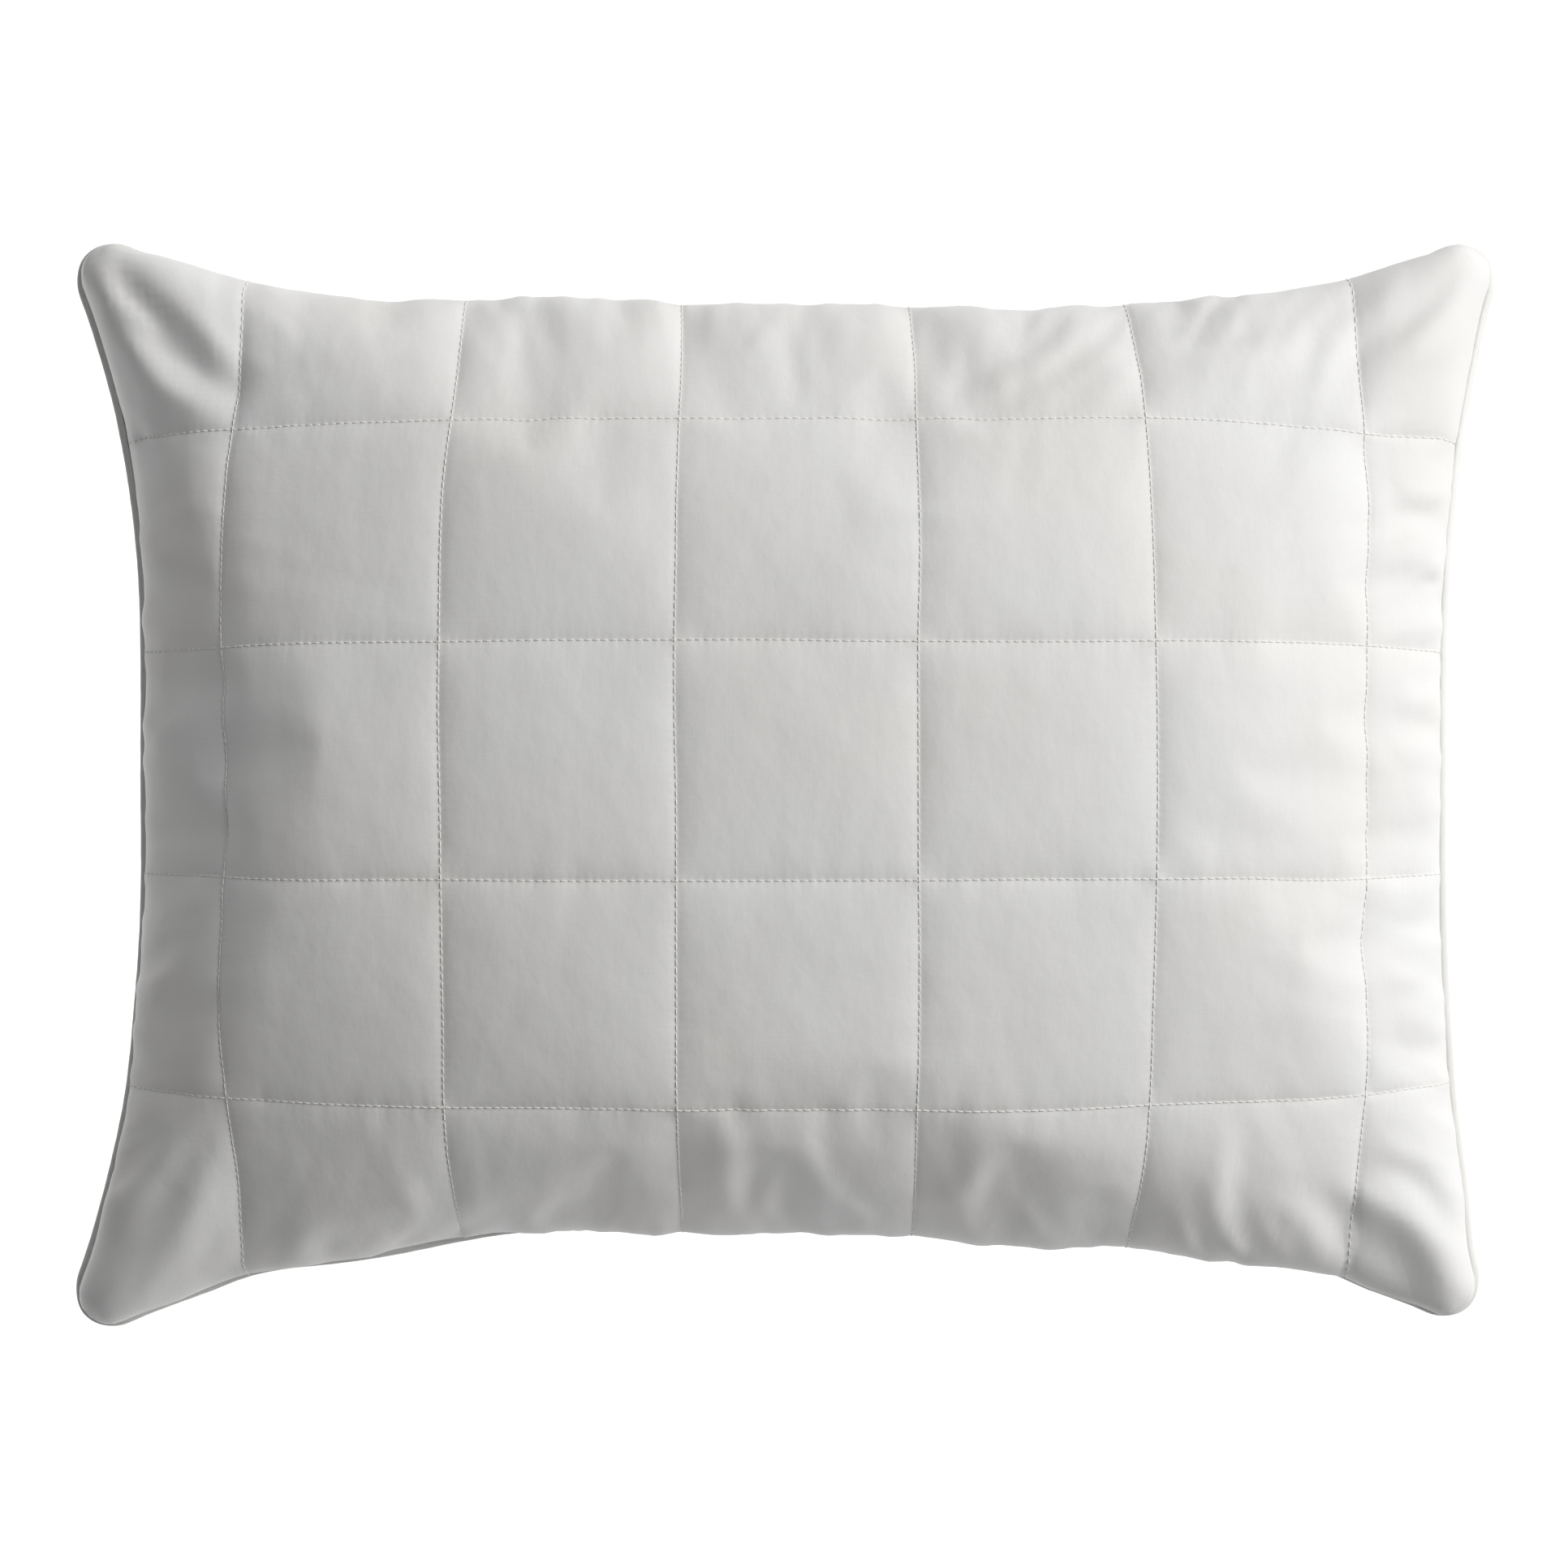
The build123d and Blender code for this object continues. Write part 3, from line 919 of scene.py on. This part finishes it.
# ---- materials
class Tree:
    """A new material's node tree, with a short call for each kind of node used here."""

    def __init__(self, name):
        self.material = bpy.data.materials.new(name)
        self.material.use_nodes = True
        self.nodes = self.material.node_tree.nodes
        self.links = self.material.node_tree.links

    def wire(self, node, inputs):
        """Sets a node's inputs to numbers, or links them to sockets."""
        for name, value in inputs.items():
            if hasattr(value, "is_output"):
                self.links.new(value, node.inputs[name])
            elif value is not None:
                node.inputs[name].default_value = value

    def add(self, kind, inputs, **settings):
        """A new node with its settings and inputs."""
        node = self.nodes.new("ShaderNode" + kind)
        for name, value in settings.items():
            setattr(node, name, value)
        self.wire(node, inputs)
        return node

    def finished(self, inputs):
        """The material, with its shader's inputs set."""
        self.wire(self.nodes["Principled BSDF"], inputs)
        return self.material

    def cloth(self):
        """Cloth coordinates."""
        return self.add("UVMap", {}, uv_map="cloth").outputs[0]

    def math(self, operation, first, second=None):
        """A Math node whose inputs are sockets or numbers."""
        return self.add("Math", {0: first, 1: second}, operation=operation).outputs[0]

    def near(self, name, reach):
        """1 where the distance held in an attribute is 0, fading away over reach."""
        distance = self.add("Attribute", {}, attribute_name=name).outputs["Fac"]
        return self.math("EXPONENT", self.math("MULTIPLY", distance, -1 / reach))

    def noise(self, vector, scale=1.0, detail=2.0, stretch=(1, 1, 1)):
        """Noise in cloth coordinates."""
        mapping = self.add("Mapping", {"Vector": vector, "Scale": stretch})
        inputs = {"Vector": mapping.outputs[0], "Scale": scale, "Detail": detail}
        return self.add("TexNoise", inputs).outputs["Fac"]

    def ramp(self, factor, *stops):
        """A ramp between two stops, each a position and a colour."""
        node = self.add("ValToRGB", {0: factor})
        for element, (position, colour) in zip(node.color_ramp.elements, stops):
            element.position = position
            element.color = (*colour, 1)
        return node.outputs[0]

    def bump(self, height, strength, distance, over=None):
        """A Bump node, over another's normal if one is given."""
        inputs = {"Height": height, "Strength": strength, "Distance": distance, "Normal": over}
        return self.add("Bump", inputs).outputs[0]


def darker(base, scale):
    """A colour with its channels scaled."""
    return tuple(channel * scale for channel in base)


def weave_height(tree, cloth):
    """Height of a plain weave with thicker slub threads."""
    threads = 1 / 0.00042
    across = tree.noise(cloth, detail=3.0, stretch=(threads, 28, 1))
    down = tree.noise(cloth, detail=3.0, stretch=(28, threads, 1))
    slubs = tree.noise(cloth, stretch=(14, 900, 1))
    return tree.math("ADD", tree.math("ADD", across, down), tree.math("MULTIPLY", slubs, 0.6))


def stitch_dimples(tree, cloth):
    """Height of the small puckers that each stitch pulls in beside its line."""
    places = tree.add("SeparateXYZ", {0: cloth}).outputs
    heights = []
    for name, axis in (("cross_distance", 1), ("long_distance", 0)):
        wave = tree.math("SINE", tree.math("MULTIPLY", places[axis], 2 * math.pi / STITCH_PITCH))
        heights.append(tree.math("MULTIPLY", wave, tree.near(name, 0.0022)))
    return tree.math("ADD", *heights)


def creases(tree, cloth, reach, ways):
    """Height of patchy creases that fade with distance. Each way: attribute, stretch of the noise, share."""
    patches = tree.math("SUBTRACT", tree.noise(cloth, scale=16.0, detail=1.0), 0.38)
    patchy = tree.math("MAXIMUM", tree.math("MULTIPLY", patches, 3.0), 0.0)
    heights = []
    for name, stretch, share in ways:
        here = tree.math("MULTIPLY", tree.math("MULTIPLY", tree.near(name, reach), patchy), share)
        heights.append(tree.math("MULTIPLY", tree.noise(cloth, detail=0.8, stretch=stretch), here))
    return tree.math("ADD", *heights)


def cotton_material(name, base, quilted):
    """White percale: fine plain weave, slubs, faint sheen and uneven whiteness."""
    tree = Tree(name)
    cloth = tree.cloth()
    warm = tuple(channel * scale for channel, scale in zip(base, (0.985, 0.975, 0.955)))
    tint = tree.ramp(tree.noise(cloth, scale=9.0, detail=3.0), (0.35, warm), (0.65, base))
    fleck = tree.noise(cloth, stretch=(900, 1300, 1))
    flecks = tree.ramp(fleck, (0.68, (1, 1, 1)), (0.78, (0.90, 0.885, 0.85)))
    normal = tree.bump(weave_height(tree, cloth), 0.14, 0.0002)
    crumples = tree.noise(cloth, scale=48.0, detail=5.0, stretch=(1, 0.7, 1))
    normal = tree.bump(crumples, 0.32, 0.0024, over=normal)
    if quilted:
        beside_lines = creases(tree, cloth, 0.009, (
            ("cross_distance", (20, 120, 1), 0.25), ("long_distance", (110, 20, 1), 1.0)))
        beside_seam = creases(tree, cloth, 0.036, (
            ("short_side_distance", (17, 50, 1), 0.6), ("long_side_distance", (50, 17, 1), 1.0)))
        normal = tree.bump(beside_lines, 0.45, 0.0022, over=normal)
        normal = tree.bump(beside_seam, 0.8, 0.0070, over=normal)
        normal = tree.bump(stitch_dimples(tree, cloth), 0.12, 0.0003, over=normal)
    colour = tree.add("Mix", {"Factor": 0.6, 6: tint, 7: flecks}, data_type="RGBA", blend_type="MULTIPLY")
    uneven = tree.noise(cloth, scale=40.0)
    roughness = tree.add("MapRange", {"Value": uneven, "To Min": 0.56, "To Max": 0.70})
    return tree.finished({
        "Base Color": colour.outputs[2],
        "Normal": normal,
        "Roughness": roughness.outputs[0],
        "Specular IOR Level": 0.30,
        "Sheen Weight": 0.12,
        "Sheen Roughness": 0.45,
    })


def thread_material(name, base):
    """Twisted thread: slanting plies, matt, with painted shade in the grooves between the plies."""
    tree = Tree(name)
    lengthwise, turn, _ = tree.add("SeparateXYZ", {0: tree.cloth()}).outputs
    along = tree.math("MULTIPLY", lengthwise, 2 * math.pi / 0.0009)
    around = tree.math("MULTIPLY", turn, 4 * math.pi)
    twist = tree.math("SINE", tree.math("ADD", along, around))
    # painted shade: the colour is darker where the twist is low, in the grooves between the plies where the
    # bump sinks
    colour = tree.ramp(twist, (0.0, darker(base, 0.88)), (0.7, base))
    normal = tree.bump(twist, 0.5, 0.0001)
    return tree.finished({"Base Color": colour, "Normal": normal, "Roughness": 0.55, "Sheen Weight": 0.15})


def fibre_material(name, base, scale, depth):
    """Matted fibres: wadding, scrim and fill, with painted shade in the hollows of the felt."""
    tree = Tree(name)
    cloth = tree.cloth()
    strands = tree.noise(cloth, scale, detail=5.0, stretch=(1, 0.35, 1))
    crossing = tree.noise(cloth, scale, detail=5.0, stretch=(0.35, 1, 1))
    felt = tree.math("ADD", strands, crossing)
    # painted shade: the colour is darker where the felt is low, in the hollows where the bump sinks
    colour = tree.ramp(felt, (0.7, darker(base, 0.86)), (1.2, base))
    normal = tree.bump(felt, 0.7, depth)
    return tree.finished({"Base Color": colour, "Normal": normal, "Roughness": 0.9, "Sheen Weight": 0.3})


# ---- stage
def make_floor():
    """Plain pale floor."""
    corners = [(x * FLOOR_REACH, y * FLOOR_REACH, FLOOR_Z) for x, y in ((-1, -1), (1, -1), (1, 1), (-1, 1))]
    floor = mesh_object("floor", corners, [(0, 1, 2, 3)], smooth=False)
    pale = Tree("pale_floor").finished({"Base Color": (0.86, 0.86, 0.86, 1), "Roughness": 0.9})
    floor.data.materials.append(pale)
    return floor


def make_camera():
    """Straight above the pillow's middle, as far off as the photograph's perspective asks for."""
    data = bpy.data.cameras.new("camera")
    data.sensor_width = 36.0
    data.lens = data.sensor_width * CAMERA_DISTANCE / VIEW_WIDTH
    camera = bpy.data.objects.new("camera", data)
    camera.location = (0.0, 0.0, SEAM_Z + CAMERA_DISTANCE)
    bpy.context.scene.collection.objects.link(camera)
    bpy.context.scene.camera = camera


def make_light(name, kind, position, power, receivers, **settings):
    """A light that points at the pillow's middle, and lights the receivers alone."""
    light = bpy.data.objects.new(name, bpy.data.lights.new(name, kind))
    light.data.energy = power
    for setting, value in settings.items():
        setattr(light.data, setting, value)
    light.location = position
    aim = Vector((0, 0, SEAM_Z)) - Vector(position)
    light.rotation_euler = aim.to_track_quat("-Z", "Y").to_euler()
    light.light_linking.receiver_collection = receivers
    bpy.context.scene.collection.objects.link(light)
    return light


def lit_group(name, members):
    """A collection for light linking."""
    group = bpy.data.collections.new(name)
    for member in members:
        group.objects.link(member)
    return group


def make_lights(floor, pieces):
    """A large key from the right, a weak overhead light and two even lights for the floor alone."""
    lit_pieces = lit_group("lit_pieces", pieces)
    lit_floor = lit_group("lit_floor", [floor])
    soft = {"shape": "SQUARE", "size": 3.3, "color": (1.0, 0.995, 0.985)}
    make_light("key", "AREA", (3.18, 1.50, 2.90), 208, lit_pieces, **soft)
    cool = {"shape": "SQUARE", "size": 1.2, "color": (0.97, 0.98, 1.0)}
    make_light("overhead", "AREA", (0.2, 0.2, 2.6), 6, lit_pieces, **cool)
    above = (0, 0, 3)
    open_sun = make_light("floor_light", "SUN", above, 2.15, lit_floor, angle=0)
    open_sun.light_linking.blocker_collection = lit_floor  # the pillow casts no shadow in this one
    make_light("floor_shading_light", "SUN", above, 1.60, lit_floor, angle=math.radians(25))
    world = bpy.data.worlds.new("studio")
    world.use_nodes = True
    background = world.node_tree.nodes["Background"]
    background.inputs["Color"].default_value = (1.0, 0.985, 0.96, 1)
    background.inputs["Strength"].default_value = 0.06
    bpy.context.scene.world = world
    bpy.context.scene.view_settings.view_transform = "Standard"


# ---- assembly
def filled_panels():
    """Both panels of the filled pillow, in the frame."""
    plain = domed_panels()
    filled = simulated_panels()
    shaped = []
    for points, form in zip(filled, plain):
        shaped.append(eared(bulged(gathered_in(calmed(points, form)))))
    top, bottom = settle(*shaped)
    return Panel(top, 1), Panel(bottom, -1)


def make_finishes():
    """The materials, by the slot of the record that each one shows."""
    looks = (
        ("cotton_percale", cotton_material, (0.80, 0.80, 0.80), True),
        ("bias_cotton", cotton_material, (0.80, 0.80, 0.79), False),
        ("quilting_thread", thread_material, (0.90, 0.89, 0.84)),
        ("seam_thread", thread_material, (0.88, 0.87, 0.84)),
        ("cord_cotton", thread_material, (0.80, 0.77, 0.69)),
        ("polyester_wadding", fibre_material, (0.86, 0.86, 0.85), 260.0, 0.0006),
        ("scrim", fibre_material, (0.82, 0.82, 0.80), 900.0, 0.0001),
        ("hollow_fibre", fibre_material, (0.88, 0.88, 0.88), 120.0, 0.0015),
    )
    return {name: make(name, *settings) for name, make, *settings in looks}


def build():
    """The whole pillow."""
    top, bottom = filled_panels()
    finishes = make_finishes()
    pieces = []

    def place(piece, slot_name, node):
        """Gives a piece its material and slot and its body, and hides the CAD part that it stands for."""
        piece.data.materials.append(finishes[slot_name])
        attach(piece, "root")
        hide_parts(node)
        pieces.append(piece)

    for name, panel in (("top", top), ("bottom", bottom)):
        place(make_shell(f"{name}_shell_cloth", panel), "cotton_percale", f"{name}_shell_fabric")
        wadding = make_wadding(f"{name}_wadding_layer", panel)
        place(wadding, "polyester_wadding", f"{name}_wadding")
        place(make_backing(f"{name}_scrim", panel), "scrim", f"{name}_backing")
        for way, crossing in (("cross", True), ("long", False)):
            stitches = make_quilting(f"{name}_stitches_{way}", panel, crossing)
            place(stitches, "quilting_thread", f"{name}_quilting_thread_{way}")
    place(make_fill(top, bottom), "hollow_fibre", "fibre_fill")
    path = seam_path(top, 0.0015)
    place(make_piping_cover(path), "bias_cotton", "piping_cover")
    place(make_piping_cord(path), "cord_cotton", "piping_cord")
    path = seam_path(top, 0.0030)
    perimeter = make_seam_stitches("perimeter_stitches", path, inset=0.003, on_opening=False)
    place(perimeter, "seam_thread", "perimeter_seam_thread")
    closing = make_seam_stitches("closing_stitches", path, inset=0.0015, on_opening=True)
    place(closing, "seam_thread", "closing_seam_thread")
    return pieces


pieces = build()
make_lights(make_floor(), pieces)
make_camera()
